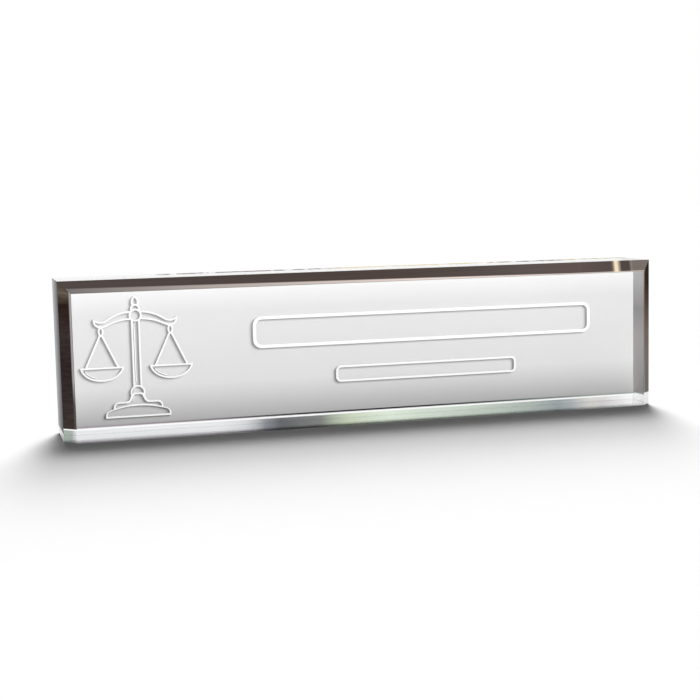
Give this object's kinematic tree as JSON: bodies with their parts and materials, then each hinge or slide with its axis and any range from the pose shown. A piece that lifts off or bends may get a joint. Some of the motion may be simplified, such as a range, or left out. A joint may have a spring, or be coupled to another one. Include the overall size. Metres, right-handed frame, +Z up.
{
  "type": "desk name plate",
  "caption": "Long clear bevelled block that stands on a desk, with a pale backing panel, dark bronze bevels, inlaid white scales and blank frames for a name and a title.",
  "frame": {"origin": "middle of the footprint, on the surface that the plate stands on", "axes": "+X along the length, to the right of someone facing the front; +Y from the front face to the back; +Z up"},
  "size_m": [0.2032, 0.0254, 0.0508],
  "materials": {
    "clear_acrylic": "polished clear cast acrylic",
    "pale_panel": "white print that fades to silver grey at its foot",
    "bronze_foil": "dark bronze hot-stamped foil, satin",
    "white_inlay": "white enamel fill"
  },
  "bodies": {
    "root": {"clear_block": "clear_acrylic", "backing_panel": "pale_panel", "bevel_foil_top": "bronze_foil", "bevel_foil_left": "bronze_foil", "bevel_foil_right": "bronze_foil", "scales_stand": "white_inlay", "scales_column": "white_inlay", "scales_beam": "white_inlay", "scales_left_pan": "white_inlay", "scales_right_pan": "white_inlay", "name_frame": "white_inlay", "title_frame": "white_inlay"}
  },
  "joints": []
}
